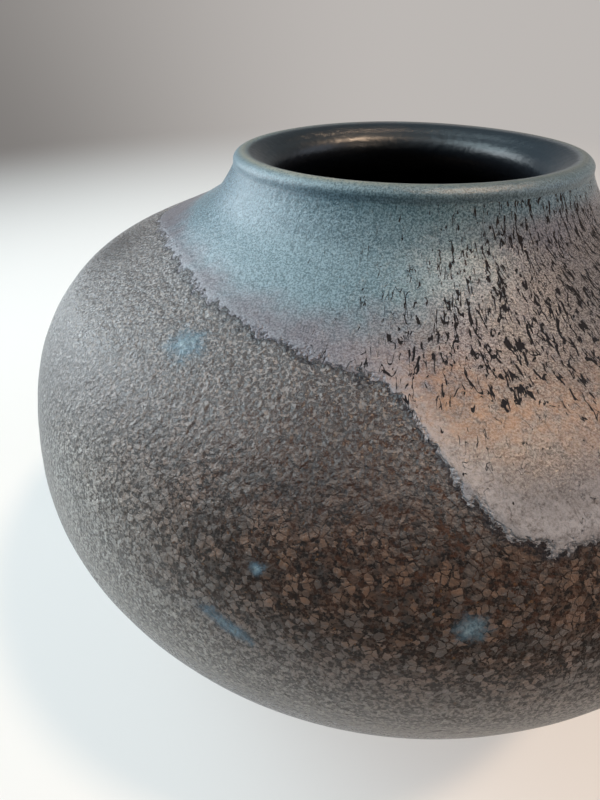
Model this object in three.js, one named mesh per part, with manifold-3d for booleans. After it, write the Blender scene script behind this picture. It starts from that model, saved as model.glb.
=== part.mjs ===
// Stoneware vase: a squat, round-bellied wheel-thrown pot with a short neck, a thick rounded lip
// and a turned foot ring. The clay body carries its fired glaze layers as separate thin solids:
// a dark iron glaze outside, a pale second glaze poured over the shoulder, a glossy liner inside,
// a band over the lip and four small blue splashes.
//
// Units are millimetres and +Z is up. The origin is the centre of the foot ring, on the table.
// Azimuth 0 faces -Y and grows towards +X.

import * as THREE from 'three';
import { mergeVertices } from 'three/addons/utils/BufferGeometryUtils.js';
import Module from 'manifold-3d';

const wasm = await Module();
wasm.setup();

// ---- Driving dimensions ----
const BELLY_RADIUS = 130;
const BELLY_HEIGHT = 96;

const FOOT_RADIUS = 52;
const FOOT_RING_WIDTH = 8;
const FOOT_HEIGHT = 6;
const FOOT_CHAMFER = 1;

const FLOOR_HEIGHT = 15;
const THROAT_RADIUS = 41;
const THROAT_HEIGHT = 180.5;
const NECK_DEPTH = 5.5;

// The rim stands a little higher at the front than at the back, as the potter left it.
const RIM_LEAN = 1.9;
const LEAN_FROM_HEIGHT = 160;
const LEAN_FULL_HEIGHT = 182;

// ---- Glaze layers ----
const GAP = 0.3;
const GLAZE_THICKNESS = 0.8;
const CLAY_DEPTH = GLAZE_THICKNESS + GAP;
const POUR_THICKNESS = 0.8;
const SPLASH_THICKNESS = 0.6;

// ---- Facets ----
const TURN_SEGMENTS = 48;
const OUTSIDE_STEPS = 18;
const LIP_STEPS = 6;
const INSIDE_STEPS = 14;
const POUR_EDGE_STEPS = 90;
const SPLASH_EDGE_STEPS = 20;
const WELD_DISTANCE = 1e-4;

// ---- Outline of the finished pot ----

// A point of the outline, as shares of the belly's radius out from the axis and up from the belly.
function fromBelly(outShare, upShare) {
  return new THREE.Vector3(outShare * BELLY_RADIUS, BELLY_HEIGHT + upShare * BELLY_RADIUS, 0);
}

function smoothCurve(points) {
  return new THREE.CatmullRomCurve3(points, false, 'centripetal');
}

// Where the dark glaze stops above the foot, and where the outside glazes meet the lip's band.
const glazeLine = fromBelly(0.5, -0.65);
const collar = fromBelly(0.416, 0.665);
const lipInside = fromBelly(0.345, 0.676);

const outsideCurve = smoothCurve([
  glazeLine,
  fromBelly(0.63, -0.585),
  fromBelly(0.8, -0.43),
  fromBelly(0.932, -0.235),
  fromBelly(1, 0),
  fromBelly(0.985, 0.153),
  fromBelly(0.93, 0.31),
  fromBelly(0.84, 0.414),
  fromBelly(0.735, 0.466),
  fromBelly(0.63, 0.506),
  fromBelly(0.53, 0.556),
  fromBelly(0.455, 0.605),
  collar,
]);

const lipCurve = smoothCurve([
  collar,
  fromBelly(0.411, 0.684),
  fromBelly(0.395, 0.695),
  fromBelly(0.372, 0.691),
  lipInside,
]);

const insideCurve = smoothCurve([
  lipInside,
  new THREE.Vector3(THROAT_RADIUS, THROAT_HEIGHT, 0),
  new THREE.Vector3(THROAT_RADIUS + 1, THROAT_HEIGHT - NECK_DEPTH, 0),
  fromBelly(0.385, 0.545),
  fromBelly(0.5, 0.495),
  fromBelly(0.7, 0.42),
  fromBelly(0.845, 0.315),
  fromBelly(0.925, 0.15),
  fromBelly(0.943, 0),
  fromBelly(0.88, -0.22),
  fromBelly(0.755, -0.4),
  fromBelly(0.58, -0.54),
  fromBelly(0.31, -0.608),
  new THREE.Vector3(0, FLOOR_HEIGHT, 0),
]);

// Points and outward normals along the finished surface, from the glaze line over the lip to the floor.
function skinSamples() {
  const points = [
    ...outsideCurve.getPoints(OUTSIDE_STEPS),
    ...lipCurve.getPoints(LIP_STEPS).slice(1),
    ...insideCurve.getPoints(INSIDE_STEPS).slice(1),
  ];
  const last = points.length - 1;
  return points.map((point, i) => {
    const before = points[Math.max(i - 1, 0)];
    const after = points[Math.min(i + 1, last)];
    const along = new THREE.Vector2(after.x - before.x, after.y - before.y).normalize();
    const normal = i === last ? new THREE.Vector2(0, 1) : new THREE.Vector2(along.y, -along.x);
    return { point: new THREE.Vector2(point.x, point.y), normal };
  });
}

const skin = skinSamples();
const LIP_START = OUTSIDE_STEPS;
const LIP_END = OUTSIDE_STEPS + LIP_STEPS;
const SKIN_END = skin.length - 1;

// The skin from one sample to another, moved out along its normals by a distance.
function offsetSkin(from, to, distance) {
  return skin.slice(from, to + 1).map(({ point, normal }) =>
    point.clone().addScaledVector(normal, distance));
}

// ---- Solids ----

// Shifts the neck and lip so that the rim leans, and leaves the rest of the pot alone.
function leanRim(geometry) {
  const position = geometry.attributes.position;
  for (let i = 0; i < position.count; i += 1) {
    const share = THREE.MathUtils.smoothstep(position.getZ(i), LEAN_FROM_HEIGHT, LEAN_FULL_HEIGHT);
    const lift = (-position.getY(i) / collar.x) * RIM_LEAN * share;
    position.setZ(i, position.getZ(i) + lift);
  }
  return geometry;
}

function turned(profile) {
  const geometry = new THREE.LatheGeometry(profile, TURN_SEGMENTS);
  geometry.rotateX(Math.PI / 2);
  return leanRim(geometry);
}

// A run of points with its last one drawn back, so that the next layer's end keeps its gap.
function drawnBack(points) {
  const last = points[points.length - 1];
  const back = points[points.length - 2].clone().sub(last).setLength(GAP);
  return [...points.slice(0, -1), last.clone().add(back)];
}

// A shell of even thickness that follows the skin from one sample to another, or to the axis.
function skinShell(from, to, innerOffset, outerOffset) {
  const outer = offsetSkin(from, to, outerOffset);
  const inner = offsetSkin(from, to, innerOffset);
  if (to === SKIN_END) {
    return turned([...inner.reverse(), ...outer]);
  }
  return turned([...drawnBack(outer), ...drawnBack(inner).reverse(), outer[0].clone()]);
}

function toManifold(geometry) {
  const bare = geometry.clone();
  bare.deleteAttribute('normal');
  bare.deleteAttribute('uv');
  const merged = mergeVertices(bare, WELD_DISTANCE);
  return new wasm.Manifold(new wasm.Mesh({
    numProp: 3,
    vertProperties: new Float32Array(merged.attributes.position.array),
    triVerts: new Uint32Array(merged.index.array),
  }));
}

function toGeometry(manifold) {
  const mesh = manifold.getMesh();
  const geometry = new THREE.BufferGeometry();
  geometry.setAttribute('position', new THREE.BufferAttribute(new Float32Array(mesh.vertProperties), 3));
  geometry.setIndex(new THREE.BufferAttribute(new Uint32Array(mesh.triVerts), 1));
  geometry.computeVertexNormals();
  return geometry;
}

function keepInside(shell, cutter) {
  return toGeometry(toManifold(shell).intersect(toManifold(cutter)));
}

// ---- Clay body ----

function clayBody() {
  const innerFoot = FOOT_RADIUS - FOOT_RING_WIDTH;
  const foot = [
    new THREE.Vector2(0, FOOT_HEIGHT),
    new THREE.Vector2(innerFoot - FOOT_CHAMFER, FOOT_HEIGHT),
    new THREE.Vector2(innerFoot, FOOT_CHAMFER),
    new THREE.Vector2(innerFoot + FOOT_CHAMFER, 0),
    new THREE.Vector2(FOOT_RADIUS - FOOT_CHAMFER, 0),
    new THREE.Vector2(FOOT_RADIUS, FOOT_CHAMFER),
    new THREE.Vector2(FOOT_RADIUS + FOOT_CHAMFER, FOOT_HEIGHT),
  ];
  // The bare band between the foot and the glaze line is flush with the glaze above it.
  const underGlaze = offsetSkin(0, SKIN_END, -CLAY_DEPTH);
  const alongWall = skin[1].point.clone().sub(skin[0].point).normalize();
  const bareEdge = skin[0].point.clone().addScaledVector(alongWall, -GAP);
  const clayEdge = underGlaze[0].clone().addScaledVector(alongWall, -GAP);
  return turned([...foot, bareEdge, clayEdge, ...underGlaze.slice(1)]);
}

// ---- Glaze poured over the shoulder ----

// The pour's lower edge seen from above: azimuth in degrees and distance from the axis.
const POUR_EDGE = [
  [-76, 80], [-50, 77], [-25, 82], [-5, 87], [3, 94], [8, 107], [16, 117], [23, 116],
  [36, 110], [52, 118], [70, 109], [88, 115], [108, 100], [128, 93], [146, 106], [165, 97],
  [188, 85], [212, 97], [236, 84], [262, 88],
];
const POUR_LOWEST_STEP = 10;

function atAzimuth(degrees, radius) {
  const angle = THREE.MathUtils.degToRad(degrees);
  return new THREE.Vector3(radius * Math.sin(angle), -radius * Math.cos(angle), 0);
}

function shoulderPour() {
  const shell = skinShell(POUR_LOWEST_STEP, LIP_START, GAP, GAP + POUR_THICKNESS);
  const edge = new THREE.CatmullRomCurve3(
    POUR_EDGE.map(([degrees, radius]) => atAzimuth(degrees, radius)), true, 'centripetal');
  const outline = edge.getSpacedPoints(POUR_EDGE_STEPS).slice(1)
    .map((point) => new THREE.Vector2(point.x, point.y));
  const cutter = new THREE.ExtrudeGeometry(new THREE.Shape(outline), {
    depth: BELLY_RADIUS,
    bevelEnabled: false,
  });
  cutter.translate(0, 0, BELLY_HEIGHT);
  return keepInside(shell, cutter);
}

// ---- Blue splashes ----

// Each splash: azimuth in degrees, height, size along and across its run, the run's tilt in
// degrees from level, and how many points its ragged edge has.
const SPLASHES = [
  { name: 'blue_splash_shoulder', azimuth: -30, height: 158, length: 9, width: 7, tilt: 0, points: 5 },
  { name: 'blue_splash_streak', azimuth: -12, height: 118, length: 20, width: 6, tilt: -22, points: 3 },
  { name: 'blue_splash_star', azimuth: 10, height: 129, length: 10, width: 9, tilt: 0, points: 6 },
  { name: 'blue_splash_fleck', azimuth: -9.5, height: 134, length: 4, width: 3, tilt: 30, points: 3 },
];
const SPLASH_RAGGEDNESS = 0.12;
const SPLASH_CUT_DEPTH = 24;

// The outline's point and normal where the outside reaches a height.
function outsideAtHeight(height) {
  const index = skin.findIndex(({ point }) => point.y >= height);
  const below = skin[index - 1];
  const above = skin[index];
  const share = (height - below.point.y) / (above.point.y - below.point.y);
  return {
    point: below.point.clone().lerp(above.point, share),
    normal: below.normal.clone().lerp(above.normal, share).normalize(),
  };
}

function splashOutline({ length, width, points }) {
  const outline = [];
  for (let i = 0; i < SPLASH_EDGE_STEPS; i += 1) {
    const angle = (i / SPLASH_EDGE_STEPS) * 2 * Math.PI;
    const reach = 1 + SPLASH_RAGGEDNESS * Math.cos(points * angle);
    outline.push(new THREE.Vector2(
      (length / 2) * reach * Math.cos(angle), (width / 2) * reach * Math.sin(angle)));
  }
  return new THREE.Shape(outline);
}

function blueSplash(splash) {
  const { point, normal } = outsideAtHeight(splash.height);
  const cutter = new THREE.ExtrudeGeometry(splashOutline(splash), {
    depth: SPLASH_CUT_DEPTH,
    bevelEnabled: false,
  });
  cutter.translate(0, 0, -SPLASH_CUT_DEPTH / 2);
  cutter.rotateZ(THREE.MathUtils.degToRad(splash.tilt));
  // Turn the drop's own face, +Z, to the wall's slope, then carry it round to its azimuth.
  cutter.rotateX(Math.acos(normal.y));
  cutter.translate(0, -point.x, point.y);
  cutter.rotateZ(THREE.MathUtils.degToRad(splash.azimuth));
  const shell = skinShell(0, LIP_START, GAP, GAP + SPLASH_THICKNESS);
  return keepInside(shell, cutter);
}

// ---- Materials ----

function stoneware() {
  return new THREE.MeshStandardMaterial({ color: 0x8c6f57, roughness: 0.9, metalness: 0 });
}

function ironGlaze() {
  return new THREE.MeshStandardMaterial({ color: 0x3b3533, roughness: 0.5, metalness: 0 });
}

function pouredGlaze() {
  return new THREE.MeshStandardMaterial({ color: 0x76878f, roughness: 0.45, metalness: 0 });
}

function linerGlaze() {
  return new THREE.MeshStandardMaterial({ color: 0x18202a, roughness: 0.25, metalness: 0 });
}

function rimGlaze() {
  return new THREE.MeshStandardMaterial({ color: 0x55686a, roughness: 0.35, metalness: 0 });
}

function splashGlaze() {
  return new THREE.MeshStandardMaterial({ color: 0x5f8dab, roughness: 0.4, metalness: 0 });
}

// ---- Assembly ----

const vase = new THREE.Group();

function addPiece(name, geometry, material) {
  const mesh = new THREE.Mesh(geometry, material);
  mesh.name = name;
  vase.add(mesh);
}

addPiece('clay_body', clayBody(), stoneware());
addPiece('base_glaze', skinShell(0, LIP_START, -GLAZE_THICKNESS, 0), ironGlaze());
addPiece('lip_glaze', skinShell(LIP_START, LIP_END, -GLAZE_THICKNESS, 0), rimGlaze());
addPiece('liner_glaze', skinShell(LIP_END, SKIN_END, -GLAZE_THICKNESS, 0), linerGlaze());
addPiece('shoulder_glaze_pour', shoulderPour(), pouredGlaze());
for (const splash of SPLASHES) {
  addPiece(splash.name, blueSplash(splash), splashGlaze());
}

export default vase;
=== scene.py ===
import math

import bpy
import numpy as np
from mathutils import Matrix, Vector

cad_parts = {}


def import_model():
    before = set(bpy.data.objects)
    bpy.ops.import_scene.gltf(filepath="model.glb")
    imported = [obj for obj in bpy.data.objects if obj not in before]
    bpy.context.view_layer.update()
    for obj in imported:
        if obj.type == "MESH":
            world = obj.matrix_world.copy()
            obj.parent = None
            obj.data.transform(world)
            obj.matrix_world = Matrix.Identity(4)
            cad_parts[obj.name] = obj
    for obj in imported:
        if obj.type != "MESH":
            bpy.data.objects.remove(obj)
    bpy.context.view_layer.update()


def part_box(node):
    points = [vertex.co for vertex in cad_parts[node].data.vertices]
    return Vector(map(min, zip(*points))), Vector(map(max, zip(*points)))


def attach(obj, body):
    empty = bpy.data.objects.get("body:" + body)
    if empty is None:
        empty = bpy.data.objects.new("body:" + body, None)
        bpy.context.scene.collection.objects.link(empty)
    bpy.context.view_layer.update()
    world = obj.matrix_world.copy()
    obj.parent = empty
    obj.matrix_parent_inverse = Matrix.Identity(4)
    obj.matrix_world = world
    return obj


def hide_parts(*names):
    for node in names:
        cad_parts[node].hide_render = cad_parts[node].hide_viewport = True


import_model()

MM = 0.001

# ---- Driving sizes, from the frame ----

coat_low, coat_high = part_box("base_glaze")
BELLY_RADIUS = (coat_high.x - coat_low.x) / 2
BELLY_HEIGHT = 0.7385 * BELLY_RADIUS
FOOT_RADIUS = 0.4 * BELLY_RADIUS
FOOT_RING_WIDTH = 8 * MM
FOOT_HEIGHT = 6 * MM
FOOT_CHAMFER = 1.2 * MM
GLAZE_THICKNESS = 0.8 * MM
# The clay's own surface lies this far inside the finished one.
CLAY_DEPTH = 1.1 * MM

# The rim stands a little higher at the front than at the back: the lift at the collar, and the
# heights between which it grows.
RIM_LEAN = 1.9 * MM
LEAN_FROM_HEIGHT = 160 * MM
LEAN_FULL_HEIGHT = 182 * MM

# The finished outline from the glaze line, up the outside, over the lip and down to the floor:
# shares of the belly's radius out from the axis, and up from the belly.
OUTSIDE = [
    (0.5, -0.65), (0.63, -0.585), (0.8, -0.43), (0.932, -0.235), (1, 0), (0.985, 0.153),
    (0.93, 0.31), (0.84, 0.414), (0.735, 0.466), (0.63, 0.506), (0.53, 0.556), (0.455, 0.605),
]
LIP = [(0.416, 0.665), (0.411, 0.684), (0.395, 0.695), (0.372, 0.691), (0.345, 0.676)]
WIDEST = OUTSIDE.index((1, 0))
COLLAR_RADIUS = LIP[0][0] * BELLY_RADIUS
INSIDE = [
    (0.3154, 0.65), (0.3231, 0.6077), (0.385, 0.545), (0.5, 0.495), (0.7, 0.42), (0.845, 0.315),
    (0.925, 0.15), (0.943, 0), (0.88, -0.22), (0.755, -0.4), (0.58, -0.54), (0.31, -0.608),
    (0, -0.6231),
]

# The pour's lower edge seen from above: azimuth in degrees, 0 at the front and growing to the
# right, and distance from the axis in millimetres.
POUR_EDGE = [
    (-76, 80), (-50, 77), (-25, 82), (-5, 87), (3, 94), (8, 107), (16, 117), (23, 116),
    (36, 110), (52, 118), (70, 109), (88, 115), (108, 100), (128, 93), (146, 106), (165, 97),
    (188, 85), (212, 97), (236, 84), (262, 88),
]


# ---- Outline ----

def natural_spline(knots, values, at):
    """Cubic spline with continuous curvature through the values at the knots."""
    count = len(knots)
    gap = np.diff(knots)
    slope = np.diff(values) / gap
    system = np.eye(count)
    right = np.zeros(count)
    for i in range(1, count - 1):
        system[i, i - 1:i + 2] = gap[i - 1], 2 * (gap[i - 1] + gap[i]), gap[i]
        right[i] = 6 * (slope[i] - slope[i - 1])
    bend = np.linalg.solve(system, right)
    i = np.clip(np.searchsorted(knots, at) - 1, 0, count - 2)
    left = at - knots[i]
    rest = knots[i + 1] - at
    curve = (bend[i] * rest ** 3 + bend[i + 1] * left ** 3) / (6 * gap[i])
    line = (values[i] / gap[i] - bend[i] * gap[i] / 6) * rest
    return curve + line + (values[i + 1] / gap[i] - bend[i + 1] * gap[i] / 6) * left


def smooth_chain(points, steps):
    """A centripetal Catmull-Rom curve through all the points, steps samples to each span."""
    ends = np.array([2 * points[0] - points[1], 2 * points[-1] - points[-2]])
    p = np.concatenate([ends[:1], points, ends[1:]])
    made = []
    for k in range(len(points) - 1):
        a, b, c, d = p[k:k + 4]
        ta, tb, tc = (math.sqrt(np.linalg.norm(v)) for v in (b - a, c - b, d - c))
        start = ((b - a) / ta - (c - a) / (ta + tb) + (c - b) / tb) * tb
        end = ((c - b) / tb - (d - b) / (tb + tc) + (d - c) / tc) * tb
        t = np.linspace(0, 1, steps, endpoint=False)[:, None]
        bend = 2 * b - 2 * c + start + end
        made.append(b + start * t + (3 * c - 3 * b - 2 * start - end) * t * t + bend * t ** 3)
    return np.concatenate([*made, points[-1:]])


SPAN_STEPS = 160


def skin_outline():
    """Run length, radius, height and outward normal along the finished outline, finely sampled."""
    points = np.array(OUTSIDE + LIP + INSIDE) * BELLY_RADIUS + np.array([0, BELLY_HEIGHT])
    radius, height = smooth_chain(points, SPAN_STEPS).T
    run = np.concatenate([[0], np.cumsum(np.hypot(np.diff(radius), np.diff(height)))])
    along_r = np.gradient(radius, run)
    along_z = np.gradient(height, run)
    length = np.hypot(along_r, along_z)
    return run, np.maximum(radius, 0), height, along_z / length, -along_r / length, run[::SPAN_STEPS]


RUN, RADIUS, HEIGHT, NORMAL_R, NORMAL_Z, MARKS = skin_outline()
COLLAR = MARKS[len(OUTSIDE)]
LIP_INSIDE = MARKS[len(OUTSIDE) + len(LIP) - 1]
SKIN_END = RUN[-1]
CREST_AT = (RUN[np.argmax(HEIGHT)] - COLLAR) / MM


def smoothstep(low, high, x):
    t = np.clip((x - low) / (high - low), 0, 1)
    return t * t * (3 - 2 * t)


def place(run, azimuth, offset):
    """Points on the skin at a run length and azimuth, moved out along its normal."""
    r = np.interp(run, RUN, RADIUS) + offset * np.interp(run, RUN, NORMAL_R)
    z = np.interp(run, RUN, HEIGHT) + offset * np.interp(run, RUN, NORMAL_Z)
    x = r * np.sin(azimuth)
    y = -r * np.cos(azimuth)
    lean = smoothstep(LEAN_FROM_HEIGHT, LEAN_FULL_HEIGHT, z) * RIM_LEAN
    z = z - y / COLLAR_RADIUS * lean
    return np.stack([x, y, z], -1)


# ---- Hand-made unevenness ----

# How far the wall strays, in millimetres: oval, three-sided, and the fine marks of turning.
OVAL = 0.16
THREE_SIDED = 0.12
TURNING_MARK = 0.03
# It is true at the glaze line and in the middle of the floor, and strays fully this far away.
FADE_AT_GLAZE_LINE = 12 * MM
FADE_AT_FLOOR = 30 * MM


def wobble(run, azimuth):
    """How far the thrown wall strays from a true turned shape."""
    height = np.interp(run, RUN, HEIGHT)
    fade = smoothstep(0, FADE_AT_GLAZE_LINE, run) * smoothstep(0, FADE_AT_FLOOR, SKIN_END - run)
    oval = OVAL * np.sin(2 * azimuth + 38 * height)
    slow = oval + THREE_SIDED * np.sin(3 * azimuth - 51 * height + 1)
    turning = TURNING_MARK * np.sin(height * 900 + 0.6 * np.sin(azimuth))
    return (slow + turning) * MM * fade


def pour_edge_run(azimuth):
    """The run length at which the pour ends, for each azimuth."""
    table = np.array(POUR_EDGE, float)
    degrees = np.concatenate([table[:, 0] - 360, table[:, 0], table[:, 0] + 360])
    radii = np.tile(table[:, 1], 3) * MM
    turned = (np.degrees(azimuth) + 90) % 360 - 90
    radius = natural_spline(degrees, radii, turned)
    outside = (RUN > MARKS[WIDEST]) & (RUN < COLLAR)
    order = np.argsort(RADIUS[outside])
    return np.interp(radius, RADIUS[outside][order], RUN[outside][order])


# ---- Meshes ----

def turned_mesh(name, rings, closes, poles=()):
    """A mesh of rings of points round the axis. It closes on itself, or ends in the pole points."""
    count, columns = rings.shape[:2]
    points = rings.reshape(-1, 3)
    i = np.arange(count if closes else count - 1)[:, None]
    j = np.arange(columns)[None]
    below = i * columns
    above = (i + 1) % count * columns
    right = (j + 1) % columns
    quads = np.stack([below + j, below + right, above + right, above + j], -1).reshape(-1, 4)
    faces = [tuple(q) for q in quads.tolist()]
    if poles:
        start = len(points)
        points = np.concatenate([points, np.array(poles)])
        last = (count - 1) * columns
        for k in range(columns):
            after = (k + 1) % columns
            faces.append((start, after, k))
            faces.append((start + 1, last + k, last + after))
    mesh = bpy.data.meshes.new(name)
    mesh.from_pydata(points.tolist(), [], faces)
    mesh.shade_smooth()
    mesh.update()
    piece = bpy.data.objects.new(name, mesh)
    bpy.context.scene.collection.objects.link(piece)
    return piece


def grid(rows, columns, low, high, spacing=None):
    """Run lengths and azimuths of a grid of rings; low and high may differ by azimuth."""
    azimuth = np.linspace(0, 2 * math.pi, columns, endpoint=False)[None, :].repeat(rows, 0)
    share = np.linspace(0, 1, rows) if spacing is None else spacing
    low = np.broadcast_to(low, (columns,))[None]
    high = np.broadcast_to(high, (columns,))[None]
    return low + (high - low) * share[:, None], azimuth


def attribute(piece, name, values):
    layer = piece.data.attributes.new(name, "FLOAT", "POINT")
    layer.data.foreach_set("value", np.asarray(values, np.float32).ravel())


def vector_attribute(piece, name, values):
    layer = piece.data.attributes.new(name, "FLOAT_VECTOR", "POINT")
    layer.data.foreach_set("vector", np.asarray(values, np.float32).ravel())


def finish_piece(piece, node, material):
    piece.data.materials.append(material)
    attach(piece, "root")
    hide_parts(node)


# ---- Painted zones ----

def spots(azimuth, down, places):
    """The sum of soft spots, each (azimuth, down, half-width round, half-width down, strength).

    Azimuths and widths round are in degrees, the others in millimetres down from the collar.
    """
    total = np.zeros_like(azimuth)
    for centre, depth, wide, deep, strength in places:
        turn = (np.degrees(azimuth) - centre + 180) % 360 - 180
        total += strength * np.exp(-(turn / wide) ** 2 - ((down - depth) / deep) ** 2)
    return np.clip(total, 0, 1)


# ---- Node helpers ----

IRON_IOR = 1.46
GLAZE_IOR = 1.6
CLAY_IOR = 1.4


class Graph:
    """Builds the node tree of its owner, a material or a world, in a few words."""

    def __init__(self, owner):
        self.owner = owner
        owner.use_nodes = True
        self.tree = owner.node_tree
        self.tree.nodes.clear()

    def put(self, socket, value):
        if isinstance(value, bpy.types.NodeSocket):
            self.tree.links.new(value, socket)
        elif isinstance(value, tuple) and len(value) == 3 and socket.type == "RGBA":
            socket.default_value = (*value, 1)
        else:
            socket.default_value = value

    def node(self, kind, inputs, **settings):
        made = self.tree.nodes.new(kind)
        for key, value in settings.items():
            setattr(made, key, value)
        for key, value in inputs.items():
            self.put(made.inputs[key], value)
        return made

    def attribute(self, name, output="Fac"):
        return self.node("ShaderNodeAttribute", {}, attribute_name=name).outputs[output]

    def position(self):
        """Where the surface is, in millimetres."""
        metres = self.node("ShaderNodeTexCoord", {}).outputs["Object"]
        return self.scaled(metres, 1 / MM)

    def scaled(self, vector, factor):
        return self.node("ShaderNodeVectorMath", {0: vector, "Scale": factor}, operation="SCALE").outputs[0]

    def math(self, operation, a, b=0.0, c=0.0):
        return self.node("ShaderNodeMath", {0: a, 1: b, 2: c}, operation=operation).outputs[0]

    def add(self, a, b):
        return self.math("ADD", a, b)

    def times(self, a, b):
        return self.math("MULTIPLY", a, b)

    def step(self, value, low, high):
        """0 below low and 1 above high, smooth in between; low above high turns it round."""
        made = self.node("ShaderNodeMapRange", {"Value": value, "From Min": low, "From Max": high},
                         interpolation_type="SMOOTHSTEP")
        return made.outputs["Result"]

    def noise(self, vector, scale, detail=2.0, roughness=0.5, distortion=0.0):
        made = self.node("ShaderNodeTexNoise", {
            "Vector": vector, "Scale": scale, "Detail": detail, "Roughness": roughness,
            "Distortion": distortion})
        return made.outputs["Fac"]

    def voronoi(self, vector, scale, feature="F1", output="Distance"):
        made = self.node("ShaderNodeTexVoronoi", {"Vector": vector, "Scale": scale}, feature=feature)
        return made.outputs[output]

    def mix(self, share, a, b, blend="MIX"):
        made = self.tree.nodes.new("ShaderNodeMix")
        made.data_type = "RGBA"
        made.blend_type = blend
        self.put(made.inputs[0], share)
        self.put(made.inputs[6], a)
        self.put(made.inputs[7], b)
        return made.outputs[2]

    def mix_value(self, share, a, b):
        return self.node("ShaderNodeMix", {0: share, 2: a, 3: b}).outputs[0]

    def output(self, kind, shader):
        """Links a shader node to the output, and returns the finished material or world."""
        self.tree.links.new(shader.outputs[0], self.node(kind, {}).inputs["Surface"])
        return self.owner

    def finish(self, color, roughness, height, ior):
        """A ceramic surface, with its relief's height in millimetres."""
        relief = self.node("ShaderNodeBump", {"Height": height, "Distance": MM, "Strength": 1.0})
        shader = self.node("ShaderNodeBsdfPrincipled", {
            "Base Color": color, "Roughness": roughness, "Normal": relief.outputs["Normal"], "IOR": ior})
        return self.output("ShaderNodeOutputMaterial", shader)


# ---- Glaze looks: noise scales are per millimetre, so 0.5 gives features about 2 mm across ----

GROUND = (0.005, 0.0025, 0.002)
GROUND_FINE = (0.088, 0.090, 0.098)
RUST = (0.060, 0.024, 0.012)
OCHRE = (0.20, 0.10, 0.04)
PLATE = (0.185, 0.118, 0.086)
PLATE_FINE = (0.270, 0.268, 0.278)
PLATE_COOL = (0.100, 0.085, 0.080)
# Painted sheen: a pale grey that stands in for the floor's reflection low on the belly.
PAINTED_SHEEN = (0.58, 0.56, 0.53)
# A dark line just outside the pour's edge: the glazes' dark halo, and painted shadow under the pour's raised
# edge.
HALO_AND_SHADOW_LINE = (0.008, 0.009, 0.016)
# A dark patch of the glaze at the upper left, and painted shade on the front of the belly.
DARK_GLAZE_AND_SHADE = (0.012, 0.009, 0.012)
# How many of the big plates there are to a millimetre.
BIG_PLATES = 0.62


def pour_reach(g):
    """Distance in millimetres inside the pour's ragged edge, negative outside it."""
    p = g.position()
    lobes = g.times(g.add(g.noise(p, 0.30, 2.0, 0.55), -0.5), 8.0)
    teeth = g.times(g.add(g.noise(p, 0.95, 2.0, 0.6), -0.5), 3.8)
    return g.add(g.attribute("reach"), g.add(lobes, teeth))


def iron_surface(g):
    """The dark base glaze's colour, with painted sheen, shade and shadow in it, its roughness and height,
    shared by every piece that shows it.
    """
    p = g.position()
    bend = g.node("ShaderNodeTexNoise", {"Vector": p, "Scale": 1.1, "Detail": 2.0}).outputs["Color"]
    bent = g.node("ShaderNodeVectorMath", {0: bend, 1: (0.9, 0.9, 0.9), 2: p}, operation="MULTIPLY_ADD")
    bent = bent.outputs[0]
    coarse = g.attribute("coarse")
    big = g.step(g.voronoi(bent, BIG_PLATES, "DISTANCE_TO_EDGE"), 0.04, 0.10)
    big = g.times(big, g.step(g.voronoi(bent, BIG_PLATES, output="Color"), 0.42, 0.62))
    small = g.step(g.noise(p, 1.15, 3.0, 0.65), 0.49, 0.56)
    plates = g.mix(coarse, small, g.math("MAXIMUM", big, g.times(small, 0.40)))
    tint = g.noise(p, 0.16, 3.0, 0.6)
    rust = g.times(g.attribute("rust"), g.step(g.noise(p, 0.7, 3.0, 0.6), 0.42, 0.60))
    ground = g.mix(rust, g.mix(coarse, GROUND_FINE, GROUND), RUST)
    ochre = g.times(g.step(g.noise(p, 0.9, 1.0, 0.5), 0.68, 0.76), coarse)
    ground = g.mix(g.times(ochre, 0.6), ground, OCHRE)
    plate = g.mix(coarse, PLATE_FINE, g.mix(g.step(tint, 0.4, 0.6), PLATE, PLATE_COOL))
    color = g.mix(plates, ground, plate)
    # Painted sheen: pale grey low on the belly, where it would mirror the floor, brightest on the plates.
    painted_sheen = g.times(g.attribute("painted_sheen"), g.add(0.2, g.times(plates, 0.65)))
    color = g.mix(painted_sheen, color, PAINTED_SHEEN)
    # Darker at one patch of the glaze, and painted shade on the front of the belly.
    color = g.mix(g.attribute("dark_glaze_and_shade"), color, DARK_GLAZE_AND_SHADE)
    reach = pour_reach(g)
    # Just outside the pour's edge: a dark halo, partly painted shadow under the raised edge.
    halo_and_shadow = g.times(g.step(reach, -2.2, -0.4), 0.8)
    color = g.mix(halo_and_shadow, color, HALO_AND_SHADOW_LINE)
    fine_roughness = g.add(0.22, g.times(plates, 0.20))
    coarse_roughness = g.add(0.85, g.times(plates, -0.45))
    roughness = g.mix_value(coarse, fine_roughness, coarse_roughness)
    peel = g.add(g.times(g.noise(p, 0.75, 2.0, 0.6), 0.55), g.times(g.noise(p, 0.28, 1.0, 0.5), 0.4))
    pits = g.times(g.step(g.noise(p, 1.0, 1.0, 0.5), 0.38, 0.28), -0.22)
    height = g.add(g.times(plates, 0.22), g.add(g.times(peel, 1.25), pits))
    return color, roughness, height


def iron_glaze():
    g = Graph(bpy.data.materials.new("iron_glaze_look"))
    color, roughness, height = iron_surface(g)
    return g.finish(color, roughness, height, IRON_IOR)


TEAL = (0.145, 0.272, 0.350)
# Darker teal under the lip: painted shade that is strongest at the front.
SHADED_TEAL = (0.080, 0.195, 0.260)
LILAC = (0.135, 0.138, 0.185)
WARM = (0.140, 0.124, 0.125)
# A warm orange-brown on the pour, partly the glaze's own blush and partly a painted warm highlight.
BLUSH_AND_HIGHLIGHT = (0.34, 0.19, 0.11)
SILVER = (0.34, 0.34, 0.37)
GRAIN_DARK = (0.010, 0.011, 0.014)
GRAIN_PALE = (0.5, 0.52, 0.55)
CRACK = (0.006, 0.005, 0.007)


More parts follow.
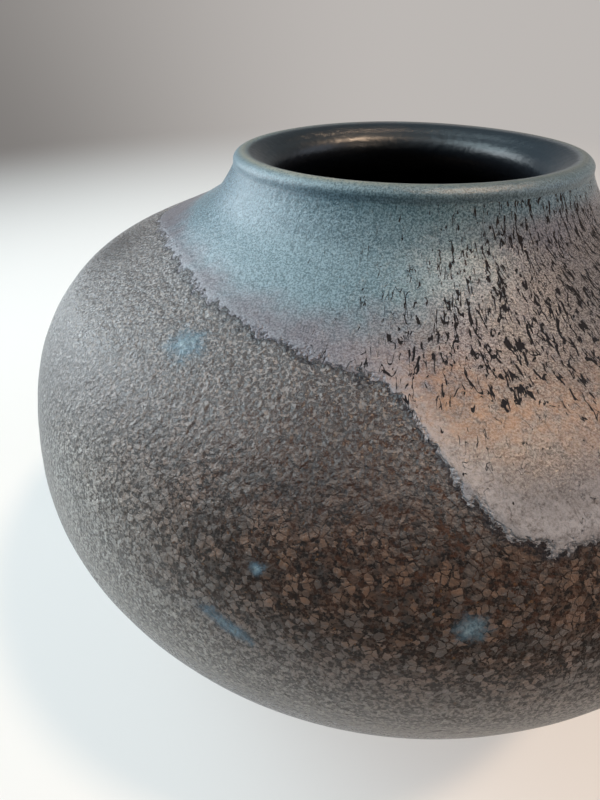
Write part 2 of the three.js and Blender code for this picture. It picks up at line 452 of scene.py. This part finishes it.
def neck_color(g):
    """The poured glaze's clouded colour with painted shade under the lip, also on the outside of the lip, and
    its fine grain.
    """
    p = g.position()
    cloud = g.times(g.add(g.noise(p, 0.09, 3.0, 0.6), -0.5), 0.9)
    color = g.mix(g.step(g.add(g.attribute("teal"), cloud), 0.15, 0.85), LILAC, TEAL)
    color = g.mix(g.step(g.add(g.attribute("warm"), cloud), 0.15, 0.85), color, WARM)
    # Painted shade: the band just under the lip turns darker teal, most towards the front.
    deep = g.step(g.add(g.attribute("collar"), g.times(cloud, 0.4)), 0.1, 0.9)
    color = g.mix(g.times(deep, 0.85), color, SHADED_TEAL)
    grain = g.noise(p, 2.1, 3.0, 0.75)
    low = g.mix(0.58, color, GRAIN_DARK)
    return g.mix(g.step(grain, 0.40, 0.60), low, g.mix(0.16, color, GRAIN_PALE)), grain


def poured_glaze():
    g = Graph(bpy.data.materials.new("poured_glaze_look"))
    p = g.position()
    flow = g.attribute("flow", "Vector")
    base, base_roughness, base_height = iron_surface(g)
    color, grain = neck_color(g)
    reach = pour_reach(g)
    # Warm blush on the pour, partly a painted highlight of the lamp.
    blush_and_highlight = g.times(g.attribute("blush_and_highlight"), g.step(g.noise(p, 0.28, 4.0, 0.7), 0.25, 0.8))
    color = g.mix(g.times(blush_and_highlight, 0.8), color, BLUSH_AND_HIGHLIGHT)
    frost = g.step(g.noise(p, 0.8, 4.0, 0.8), 0.25, 0.62)
    silver = g.times(g.times(g.attribute("silver"), frost), g.step(reach, 17.0, 2.0))
    color = g.mix(silver, color, SILVER)
    # Crawled breaks: long blobs and thin wavering lines along the flow.
    crawl = g.attribute("crawl")
    blob = g.noise(flow, 1.15, 2.0, 0.55, 0.8)
    blob = g.step(g.add(blob, g.times(crawl, 0.155)), 0.735, 0.75)
    ridge = g.math("ABSOLUTE", g.add(g.noise(flow, 0.55, 2.0, 0.6, 0.6), -0.5))
    gate = g.step(g.noise(flow, 0.8, 1.0, 0.5), 0.50, 0.60)
    width = g.times(g.times(crawl, gate), 0.034)
    crack = g.math("MAXIMUM", blob, g.step(g.math("SUBTRACT", width, ridge), -0.003, 0.003))
    color = g.mix(crack, color, CRACK)
    cover = g.step(reach, -0.15, 0.3)
    color = g.mix(cover, base, color)
    shine = g.add(g.add(g.times(grain, 0.16), 0.14), g.times(silver, 0.32))
    shine = g.mix_value(g.attribute("gloss"), shine, 0.10)
    shine = g.mix_value(crack, shine, 1.0)
    roughness = g.mix(cover, base_roughness, shine)
    body = g.add(g.times(grain, 0.12), g.times(crack, -0.25))
    body = g.add(body, g.times(g.noise(p, 0.55, 2.0, 0.5), 0.22))
    body = g.add(body, g.times(g.attribute("thick"), g.times(g.step(reach, -0.3, 1.6), 0.7)))
    height = g.mix(cover, base_height, body)
    return g.finish(color, roughness, height, IRON_IOR)


BLUE_BLACK = (0.008, 0.018, 0.028)
OLIVE = (0.10, 0.115, 0.10)
# Painted highlight: pale spots on the lip's crest where the window light catches it.
RIM_HIGHLIGHT = (0.30, 0.34, 0.31)
LINER_BLACK = (0.006, 0.007, 0.010)


def rim_glaze():
    g = Graph(bpy.data.materials.new("rim_glaze_look"))
    p = g.position()
    color, grain = neck_color(g)
    color = g.mix(g.attribute("inside"), color, BLUE_BLACK)
    color = g.mix(g.times(g.attribute("crest"), g.step(grain, 0.3, 0.6)), color, OLIVE)
    # Painted highlight on the lip's crest, at the front and left.
    color = g.mix(g.times(g.attribute("pale"), g.step(grain, 0.35, 0.6)), color, RIM_HIGHLIGHT)
    roughness = g.add(0.26, g.times(grain, 0.14))
    height = g.add(g.times(grain, 0.12), g.times(g.noise(p, 0.35, 1.0), 0.2))
    return g.finish(color, roughness, height, GLAZE_IOR)


def liner_glaze():
    g = Graph(bpy.data.materials.new("liner_glaze_look"))
    p = g.position()
    grain = g.noise(p, 0.6, 2.0, 0.5)
    color = g.mix(g.attribute("band"), LINER_BLACK, BLUE_BLACK)
    roughness = g.add(0.32, g.times(grain, 0.14))
    height = g.times(g.noise(p, 0.35, 2.0), 0.25)
    return g.finish(color, roughness, height, GLAZE_IOR)


CLAY_DARK = (0.20, 0.125, 0.08)
CLAY_PALE = (0.28, 0.19, 0.125)
GRIT = (0.06, 0.04, 0.03)


def stoneware():
    g = Graph(bpy.data.materials.new("stoneware_look"))
    p = g.position()
    grit = g.voronoi(p, 0.9)
    tint = g.noise(p, 0.15, 3.0, 0.6)
    color = g.mix(g.step(tint, 0.35, 0.65), CLAY_DARK, CLAY_PALE)
    color = g.mix(g.step(grit, 0.22, 0.12), color, GRIT)
    height = g.add(g.times(g.noise(p, 1.2, 3.0, 0.7), 0.15), g.times(grit, 0.05))
    return g.finish(color, 0.85, height, CLAY_IOR)


SPLASH_BLUE = (0.085, 0.165, 0.235)
SPLASH_CORE = (0.32, 0.46, 0.54)


def splash_glaze():
    g = Graph(bpy.data.materials.new("splash_glaze_look"))
    p = g.position()
    color, roughness, height = iron_surface(g)
    grain = g.noise(p, 1.5, 3.0, 0.7)
    feather = g.noise(p, 0.5, 2.0, 0.5)
    ragged = g.add(g.times(g.add(grain, -0.5), 0.9), g.times(g.add(feather, -0.5), 0.8))
    blue = g.step(g.add(g.attribute("splash"), ragged), 0.1, 0.95)
    color = g.mix(g.times(blue, 0.85), color, SPLASH_BLUE)
    core = g.step(g.add(g.attribute("splash"), g.times(ragged, 0.9)), 0.7, 1.2)
    color = g.mix(g.times(core, 0.6), color, SPLASH_CORE)
    return g.finish(color, roughness, height, IRON_IOR)


# ---- Outside coats ----

# Fineness of each mesh: points round the pot, and rings along the skin.
COAT_COLUMNS = 640
COAT_RINGS = 130
COAT_BACK_RINGS = 24
POUR_COLUMNS = 1200
POUR_RINGS = 52
LIP_COLUMNS = 480
LIP_RINGS = 40
LINER_COLUMNS = 360
LINER_RINGS = 120
CLAY_COLUMNS = 360
CLAY_RINGS = 150
SPLASH_COLUMNS = 72
SPLASH_RINGS = 18

# The pour's mesh runs this far past its edge, so that the material can make the edge ragged.
EDGE_MARGIN = 5 * MM
# Neighbouring glazes overlap by this much on both sides of the collar and of the lip's inner edge.
JOIN = 3 * MM
# The pour, the lip's band and the liner dip this far at those ends, in millimetres.
JOIN_DIP = 0.15
# Backs and rims of the thin glazes, in millimetres off the base coat's surface.
POUR_BACK = -0.3
SPLASH_BACK = -0.2
SUNK_RIM = -0.05

RUST_SPOTS = [
    (4, 62, 18, 20, 0.9), (14, 86, 16, 14, 0.6), (-14, 62, 22, 14, 0.35), (-20, 95, 40, 20, 0.3),
]
COARSE_SPOTS = [
    (2, 86, 40, 23, 1.0), (60, 100, 50, 28, 0.8), (170, 105, 70, 30, 0.8), (-100, 110, 30, 20, 0.5),
]
# The first spot is a dark patch of the glaze; the others are painted shade on the front.
DARK_GLAZE_AND_SHADE_SPOTS = [(-79, 52, 9, 9, 0.7), (-3, 57, 11, 14, 0.50), (2, 74, 18, 14, 0.22)]
# Spots of painted sheen: the floor's reflection low on the belly and at the bottom.
PAINTED_SHEEN_SPOTS = [
    (-35, 96, 14, 18, 1.0), (-23, 115, 16, 13, 1.0), (10, 122, 30, 12, 0.5), (150, 110, 60, 20, 0.4),
]


def down_from_collar(run):
    return (COLLAR - run) / MM


def paint_iron(piece, run, azimuth):
    """Where the base glaze turns rusty, coarse or dark, where painted shade and painted sheen lie on it, and
    how far it is from the pour.
    """
    down = down_from_collar(run)
    attribute(piece, "rust", spots(azimuth, down, RUST_SPOTS))
    attribute(piece, "coarse", spots(azimuth, down, COARSE_SPOTS))
    # A dark patch of the glaze, and painted shade on the front.
    attribute(piece, "dark_glaze_and_shade", spots(azimuth, down, DARK_GLAZE_AND_SHADE_SPOTS))
    # Painted sheen low on the belly.
    attribute(piece, "painted_sheen", spots(azimuth, down, PAINTED_SHEEN_SPOTS))
    attribute(piece, "reach", (run - pour_edge_run(azimuth)) / MM)


def base_coat():
    run, azimuth = grid(COAT_RINGS, COAT_COLUMNS, 0, COLLAR)
    outer = place(run, azimuth, wobble(run, azimuth))
    inner_run, inner_azimuth = grid(COAT_BACK_RINGS, COAT_COLUMNS, COLLAR, 0)
    inner = place(inner_run, inner_azimuth, wobble(inner_run, inner_azimuth) - GLAZE_THICKNESS)
    piece = turned_mesh("iron_glaze_coat", np.concatenate([outer, inner]), True)
    paint_iron(piece, np.concatenate([run, inner_run]), np.concatenate([azimuth, inner_azimuth]))
    finish_piece(piece, "base_glaze", iron_glaze())


TEAL_SPOTS = [(-52, 6, 50, 18, 1.0), (-5, 12, 34, 18, 0.9), (-100, 6, 40, 14, 0.8), (180, 5, 90, 14, 0.6)]
WARM_SPOTS = [(46, 45, 34, 50, 1.0), (110, 40, 45, 45, 0.7), (14, 60, 12, 18, 0.7)]
# Where the pour turns warm: partly the glaze's blush, partly a painted warm highlight.
BLUSH_AND_HIGHLIGHT_SPOTS = [(6, 46, 9, 12, 0.9), (22, 50, 18, 9, 0.6), (44, 56, 16, 12, 0.8), (120, 60, 40, 14, 0.5)]
CRAWL_SPOTS = [
    (36, 26, 26, 26, 1.0), (34, 8, 22, 12, 0.7), (72, 28, 30, 30, 0.9), (10, 34, 16, 16, 0.75),
    (-70, 44, 16, 8, 0.5), (200, 30, 40, 20, 0.7), (140, 35, 34, 25, 0.7),
]
SILVER_SPOTS = [(20, 0, 20, 7, 1.0), (-50, 0, 44, 3, 0.12), (140, 0, 60, 6, 0.7)]
THICK_SPOTS = [(18, 0, 30, 1, 1.0), (140, 0, 70, 1, 0.7)]
GLOSS_SPOTS = [(16, 5, 12, 7, 0.9), (20, 52, 16, 9, 0.45), (160, 8, 20, 8, 0.7)]
# The crawled breaks' own coordinates: round a circle of this many millimetres, and squeezed
# downwards so that the breaks run long down the wall.
FLOW_RADIUS = 62.0
FLOW_STRETCH = 0.26

# The pour in millimetres: its film outside and inside its edge, and the bead just inside the edge.
FILM_OUTSIDE = 0.04
FILM_RISE = 0.30
FILM_EDGE = 2.5
BEAD_HEIGHT = 0.45
BEAD_AT = 2.6
BEAD_WIDTH = 2.2
BEAD_LEAST = 0.35
# Its rings lie a little closer together towards its edge.
POUR_RING_POWER = 1.15


def paint_pour(piece, run, azimuth):
    """The poured glaze's clouds of colour and the painted shade under the lip, which also reach the outside
    of the lip.
    """
    down = down_from_collar(run)
    attribute(piece, "teal", spots(azimuth, down, TEAL_SPOTS))
    attribute(piece, "warm", spots(azimuth, down, WARM_SPOTS))
    # The band under the lip that carries painted shade, strongest towards the front.
    attribute(piece, "collar", np.exp(-((down + 1.5) / 6.0) ** 2) * (0.6 + 0.4 * np.cos(azimuth - 0.5)))


def pour_weight(azimuth):
    """How heavily the pour ends at each azimuth, up to 1."""
    return BEAD_LEAST + (1 - BEAD_LEAST) * spots(azimuth, np.zeros_like(azimuth), THICK_SPOTS)


def pour_lift(run, azimuth, inside):
    """How far the pour stands off the base coat, in millimetres; inside is the way in from its edge."""
    film = FILM_OUTSIDE + FILM_RISE * smoothstep(-FILM_EDGE, FILM_EDGE, inside)
    lift = film + pour_weight(azimuth) * BEAD_HEIGHT * np.exp(-((inside - BEAD_AT) / BEAD_WIDTH) ** 2)
    lift = np.where(inside < 0.1 - EDGE_MARGIN / MM, SUNK_RIM, lift)
    return lift + (-JOIN_DIP - lift) * smoothstep(7, -4, down_from_collar(run))


def poured_coat():
    edge = pour_edge_run(np.linspace(0, 2 * math.pi, POUR_COLUMNS, endpoint=False)) - EDGE_MARGIN
    share = np.linspace(0, 1, POUR_RINGS) ** POUR_RING_POWER
    run, azimuth = grid(POUR_RINGS, POUR_COLUMNS, edge, COLLAR + JOIN, share)
    inner_run, inner_azimuth = run[::-2], azimuth[::-2]
    lift = pour_lift(run, azimuth, (run - edge[None] - EDGE_MARGIN) / MM)
    outer = place(run, azimuth, wobble(run, azimuth) + lift * MM)
    inner = place(inner_run, inner_azimuth, wobble(inner_run, inner_azimuth) + POUR_BACK * MM)
    piece = turned_mesh("poured_glaze_coat", np.concatenate([outer, inner]), True)
    all_run = np.concatenate([run, inner_run])
    all_azimuth = np.concatenate([azimuth, inner_azimuth])
    down = down_from_collar(all_run)
    paint_iron(piece, all_run, all_azimuth)
    paint_pour(piece, all_run, all_azimuth)
    attribute(piece, "crawl", spots(all_azimuth, down, CRAWL_SPOTS))
    # Warm blush, partly a painted highlight.
    attribute(piece, "blush_and_highlight", spots(all_azimuth, down, BLUSH_AND_HIGHLIGHT_SPOTS))
    attribute(piece, "gloss", spots(all_azimuth, down, GLOSS_SPOTS))
    attribute(piece, "silver", spots(all_azimuth, np.zeros_like(down), SILVER_SPOTS))
    attribute(piece, "thick", pour_weight(all_azimuth))
    across = FLOW_RADIUS * np.sin(all_azimuth), FLOW_RADIUS * np.cos(all_azimuth)
    vector_attribute(piece, "flow", np.stack([*across, down * FLOW_STRETCH], -1))
    finish_piece(piece, "shoulder_glaze_pour", poured_glaze())


LIP_RISE = 0.3
# Spots of painted highlight on the crest, at the left front.
RIM_HIGHLIGHT_SPOTS = [(-30, CREST_AT - 0.5, 36, 1.0, 1.0), (-80, CREST_AT, 40, 0.8, 0.5)]


def lip_band():
    run, azimuth = grid(LIP_RINGS, LIP_COLUMNS, COLLAR - JOIN, LIP_INSIDE + JOIN)
    middle = smoothstep(0, 2 * JOIN, run - run[0]) * smoothstep(0, 2 * JOIN, run[-1] - run)
    rise = LIP_RISE * middle - JOIN_DIP
    outer = place(run, azimuth, wobble(run, azimuth) + rise * MM)
    inner_run, inner_azimuth = run[::-2], azimuth[::-2]
    inner = place(inner_run, inner_azimuth, -GLAZE_THICKNESS)
    piece = turned_mesh("lip_glaze_band", np.concatenate([outer, inner]), True)
    all_run = np.concatenate([run, inner_run])
    all_azimuth = np.concatenate([azimuth, inner_azimuth])
    past = (all_run - COLLAR) / MM
    paint_pour(piece, all_run, all_azimuth)
    attribute(piece, "crest", np.exp(-((past - CREST_AT) / 1.3) ** 2))
    attribute(piece, "inside", smoothstep(CREST_AT + 0.5, CREST_AT + 2.5, past))
    # Painted highlight on the crest.
    attribute(piece, "pale", spots(all_azimuth, past, RIM_HIGHLIGHT_SPOTS))
    finish_piece(piece, "lip_glaze", rim_glaze())


# The rings over the floor stop this far from the axis, and one point closes them there.
POLE_GAP = 1 * MM


def liner_coat():
    run, azimuth = grid(LINER_RINGS, LINER_COLUMNS, LIP_INSIDE - JOIN, SKIN_END - POLE_GAP)
    dip = JOIN_DIP * MM * smoothstep(2 * JOIN, 0, run - run[0])
    cavity = place(run, azimuth, wobble(run, azimuth) - dip)
    back_run, back_azimuth = run[::-2], azimuth[::-2]
    back = place(back_run, back_azimuth, wobble(back_run, back_azimuth) - GLAZE_THICKNESS)
    poles = [place(SKIN_END, 0, -GLAZE_THICKNESS), place(SKIN_END, 0, 0)]
    piece = turned_mesh("liner_glaze_coat", np.concatenate([back, cavity]), False, poles)
    past = np.concatenate([back_run, run]).ravel() / MM - LIP_INSIDE / MM
    attribute(piece, "band", np.concatenate([1 - smoothstep(2, 9, past), [0, 0]]))
    finish_piece(piece, "liner_glaze", liner_glaze())


def foot_profile():
    """The turned foot from the recess out to the glaze line: radius and height."""
    inside = FOOT_RADIUS - FOOT_RING_WIDTH
    chamfer = FOOT_CHAMFER
    soft = 0.3 * chamfer
    return [
        (4 * MM, FOOT_HEIGHT), (inside - 2 * MM, FOOT_HEIGHT), (inside - 0.5 * MM, FOOT_HEIGHT - 1 * MM),
        (inside, chamfer), (inside + soft, soft), (inside + chamfer, 0),
        (FOOT_RADIUS - chamfer, 0), (FOOT_RADIUS - soft, soft), (FOOT_RADIUS, chamfer),
        (FOOT_RADIUS + 0.6 * MM, FOOT_HEIGHT - 1.5 * MM), (FOOT_RADIUS + 1.5 * MM, FOOT_HEIGHT),
        (FOOT_RADIUS + 4 * MM, FOOT_HEIGHT + 1.6 * MM),
    ]


# At the glaze line the bare clay lies this little inside the glaze. The clay under the glaze starts
# this far up the wall.
BARE_DEPTH = 0.1 * MM
UNDER_GLAZE_FROM = 0.8 * MM


def flat_ring(radius, height, azimuth):
    return np.stack([radius * np.sin(azimuth), -radius * np.cos(azimuth), np.full_like(azimuth, height)], -1)


def clay_piece():
    azimuth = np.linspace(0, 2 * math.pi, CLAY_COLUMNS, endpoint=False)
    foot = [flat_ring(radius, height, azimuth) for radius, height in foot_profile()]
    bare = place(np.zeros_like(azimuth), azimuth, -BARE_DEPTH)
    run, azimuths = grid(CLAY_RINGS, CLAY_COLUMNS, UNDER_GLAZE_FROM, SKIN_END - POLE_GAP)
    under = place(run, azimuths, -CLAY_DEPTH)
    poles = [(0, 0, FOOT_HEIGHT), tuple(place(SKIN_END, 0, -CLAY_DEPTH))]
    piece = turned_mesh("clay_body_fine", np.concatenate([np.array([*foot, bare]), under]), False, poles)
    finish_piece(piece, "clay_body", stoneware())


# ---- Blue splashes ----

SPLASH_RISE = 0.05

# Each splash: node, azimuth in degrees, height, length and width in millimetres, tilt in degrees
# from level, and how many points its ragged edge has.
SPLASHES = [
    ("blue_splash_shoulder", -30.4, 158, 24, 21, 0, 5),
    ("blue_splash_streak", -12, 118, 27, 9, -22, 2),
    ("blue_splash_star", 10, 129, 14, 13, 0, 6),
    ("blue_splash_fleck", -9.5, 134, 7, 6, 30, 3),
]


def splash(look, node, degrees, height, length, width, tilt, points):
    """A thin drop on the base coat: rings of points from its rim to its middle, and a flat back."""
    outside = (RUN < COLLAR) & (RUN > MARKS[WIDEST - 1])
    middle_run = np.interp(height * MM, HEIGHT[outside], RUN[outside])
    middle_radius = np.interp(middle_run, RUN, RADIUS)
    around = np.linspace(0, 2 * math.pi, SPLASH_COLUMNS, endpoint=False)[None]
    share = np.linspace(1, 0.05, SPLASH_RINGS)[:, None]
    lean = math.radians(tilt)
    along = length / 2 * MM * share * np.cos(around)
    across = width / 2 * MM * share * np.sin(around)
    run = middle_run + along * math.sin(lean) + across * math.cos(lean)
    azimuth = math.radians(degrees) + (along * math.cos(lean) - across * math.sin(lean)) / middle_radius
    lift = np.where(share > 0.97, SUNK_RIM, SPLASH_RISE * (1 - share ** 4)) * MM
    rays = 0.86 + 0.08 * np.cos(points * around) + 0.05 * np.cos((points + 3) * around + 1)
    mask = smoothstep(1, 0, share / rays)
    run = np.concatenate([run[::-1], run])
    azimuth = np.concatenate([azimuth[::-1], azimuth])
    lift = np.concatenate([np.full_like(lift, SPLASH_BACK * MM), lift])
    middle = np.array([middle_run, middle_run]), np.full(2, math.radians(degrees))
    poles = place(*middle, wobble(*middle) + np.array([SPLASH_BACK, SPLASH_RISE]) * MM)
    rings = place(run, azimuth, wobble(run, azimuth) + lift)
    piece = turned_mesh(node + "_drop", rings, False, poles.tolist())
    paint_iron(piece, np.append(run, middle[0]), np.append(azimuth, middle[1]))
    attribute(piece, "splash", np.append(np.concatenate([mask[::-1], mask]), [1, 1]))
    finish_piece(piece, node, look)


# ---- Stage, lights, camera ----

FLOOR_SIDE = 400
FLOOR_PAINT = (0.45, 0.45, 0.446)
FAR_PAINT = (0.0, 0.0, 0.0)
NEAR_GLOW = 0.425
FAR_GLOW_LEFT = 0.21
FAR_GLOW_RIGHT = 0.505
FAR_GLOW_FRONT = 0.07
GLOW_TINT_LEFT = (0.97, 1.0, 1.0)
GLOW_TINT_RIGHT = (1.0, 0.86, 0.76)
FAR_TINT = (1.0, 0.945, 0.905)
ROOM_TINT = (0.95, 0.98, 1.0)
# Distances in metres from the axis over which the floor fades, in front of the pot and behind it.
FADE_FRONT = (0.17, 0.55)
FADE_BEHIND = (0.32, 1.20)
# The room's own light: all round, and what is added behind the pot and overhead.
ROOM_LEAST = 0.02
ROOM_BACK = 0.12
ROOM_UP = 0.04


def far_glow(g, parts):
    """The room's brightness low down, far from the pot: dark in front, brightest behind to the right."""
    depth = g.add(g.math("ABSOLUTE", parts[1]), 0.05)
    turn = g.math("DIVIDE", parts[0], depth)
    behind = g.math("MULTIPLY_ADD", g.step(turn, -1.0, 0.0), FAR_GLOW_RIGHT - FAR_GLOW_LEFT, FAR_GLOW_LEFT)
    slant = g.math("DIVIDE", parts[1], g.add(g.math("ABSOLUTE", parts[0]), 0.05))
    return g.mix_value(g.step(slant, 0.1, -0.5), behind, FAR_GLOW_FRONT)


def pale_floor():
    """A pale floor that glows softly. Far from the pot it has no paint, and only the room's glow."""
    bpy.ops.mesh.primitive_plane_add(size=FLOOR_SIDE, location=(0, 0, 0))
    floor = bpy.context.object
    floor.name = "floor"
    g = Graph(bpy.data.materials.new("pale_floor"))
    where = g.node("ShaderNodeTexCoord", {}).outputs["Object"]
    parts = g.node("ShaderNodeSeparateXYZ", {0: where}).outputs
    distance = g.node("ShaderNodeVectorMath", {0: where}, operation="LENGTH").outputs["Value"]
    behind = g.step(parts[1], -0.25, 0.05)
    far = g.mix_value(behind, g.step(distance, *FADE_FRONT), g.step(distance, *FADE_BEHIND))
    tint = g.mix(g.step(parts[0], -0.15, 0.22), GLOW_TINT_LEFT, GLOW_TINT_RIGHT)
    glow = g.mix_value(far, NEAR_GLOW, far_glow(g, parts))
    shader = g.node("ShaderNodeBsdfPrincipled", {
        "Base Color": g.mix(far, FLOOR_PAINT, FAR_PAINT), "Roughness": 0.6, "Specular IOR Level": 0.0,
        "Emission Color": g.mix(far, tint, FAR_TINT), "Emission Strength": glow})
    floor.data.materials.append(g.output("ShaderNodeOutputMaterial", shader))


BELLY_CENTRE = Vector((0, 0, BELLY_HEIGHT))

# Each light: name, azimuth and elevation in degrees and distance in metres from the belly's
# centre, width and height in metres, strength and colour.
LIGHTS = [
    ("window", (-98, 16, 1.5), (1.6, 1.2), 4.4, (0.86, 0.95, 1.0)),
    ("window_high", (-95, 50, 1.5), (1.0, 1.0), 4.0, (0.75, 0.94, 1.0)),
    ("fill", (-45, 60, 1.6), (1.0, 1.0), 0.6, (1.0, 1.0, 1.0)),
    ("lamp", (82, 66, 1.1), (0.12, 0.12), 170, (1.0, 0.72, 0.50)),
    ("spot", (46, 27, 1.2), (0.08, 0.08), 60, (1.0, 0.80, 0.62)),
    ("right", (95, 25, 1.6), (1.2, 1.0), 1.0, (0.70, 0.80, 1.0)),
]


def from_belly(azimuth, elevation, distance):
    """A point seen from the belly's centre at an azimuth and elevation in degrees."""
    turn = math.radians(azimuth)
    rise = math.radians(elevation)
    level = math.cos(rise)
    return BELLY_CENTRE + distance * Vector((math.sin(turn) * level, -math.cos(turn) * level, math.sin(rise)))


def area_light(name, location, size, strength, color):
    """A soft light that faces the belly. Its brightness follows strength, whatever its size."""
    data = bpy.data.lights.new(name, "AREA")
    data.shape = "RECTANGLE"
    data.size, data.size_y = size
    data.energy = strength * math.pi * size[0] * size[1]
    data.color = color
    light = bpy.data.objects.new(name, data)
    bpy.context.scene.collection.objects.link(light)
    light.location = location
    light.rotation_euler = (BELLY_CENTRE - light.location).to_track_quat("-Z", "Y").to_euler()


def world():
    """A room that is dark in front of the pot and pale behind it."""
    g = Graph(bpy.data.worlds.new("studio"))
    direction = g.node("ShaderNodeTexCoord", {}).outputs["Generated"]
    # Each direction is carried out to the floor's edge, so that its glow and the room's meet there.
    horizon = g.node("ShaderNodeSeparateXYZ", {0: g.scaled(direction, FLOOR_SIDE / 2)}).outputs
    parts = g.node("ShaderNodeSeparateXYZ", {0: direction}).outputs
    back = g.times(g.step(parts[1], -0.3, 1.0), ROOM_BACK)
    up = g.times(g.step(parts[2], 0.3, 1.0), ROOM_UP)
    low = g.step(parts[2], 0.34, 0.02)
    strength = g.mix_value(low, g.add(ROOM_LEAST, g.add(back, up)), far_glow(g, horizon))
    color = g.mix(low, ROOM_TINT, FAR_TINT)
    background = g.node("ShaderNodeBackground", {"Color": color, "Strength": strength})
    bpy.context.scene.world = g.output("ShaderNodeOutputWorld", background)


# The camera stands this many belly radii in front of the axis and above the belly. It is turned,
# tipped down and rolled by these degrees, and its lens is in millimetres.
CAMERA_BACK = 1.342
CAMERA_UP = 0.958
CAMERA_YAW = 11.35
CAMERA_PITCH = 38.09
CAMERA_ROLL = -1.01
CAMERA_LENS = 22.5


def camera():
    data = bpy.data.cameras.new("camera")
    data.lens = CAMERA_LENS
    data.sensor_width = 36
    data.clip_start = 0.005
    data.clip_end = 50
    made = bpy.data.objects.new("camera", data)
    bpy.context.scene.collection.objects.link(made)
    pitch = math.radians(CAMERA_PITCH)
    turn = Matrix.Rotation(math.radians(CAMERA_YAW), 3, "Z")
    forward = turn @ Vector((0, math.cos(pitch), -math.sin(pitch)))
    right = turn @ Vector((1, 0, 0))
    right.rotate(Matrix.Rotation(-math.radians(CAMERA_ROLL), 3, forward))
    up = right.cross(forward)
    basis = Matrix((right, up, -forward)).transposed()
    eye = Vector((0, -CAMERA_BACK * BELLY_RADIUS, BELLY_HEIGHT + CAMERA_UP * BELLY_RADIUS))
    made.matrix_world = Matrix.Translation(eye) @ basis.to_4x4()
    bpy.context.scene.camera = made


camera()
clay_piece()
base_coat()
poured_coat()
lip_band()
liner_coat()
splash_look = splash_glaze()
for row in SPLASHES:
    splash(splash_look, *row)
pale_floor()
world()
for name, seen_at, size, strength, color in LIGHTS:
    area_light(name, from_belly(*seen_at), size, strength, color)
bpy.context.scene.view_settings.view_transform = "Standard"
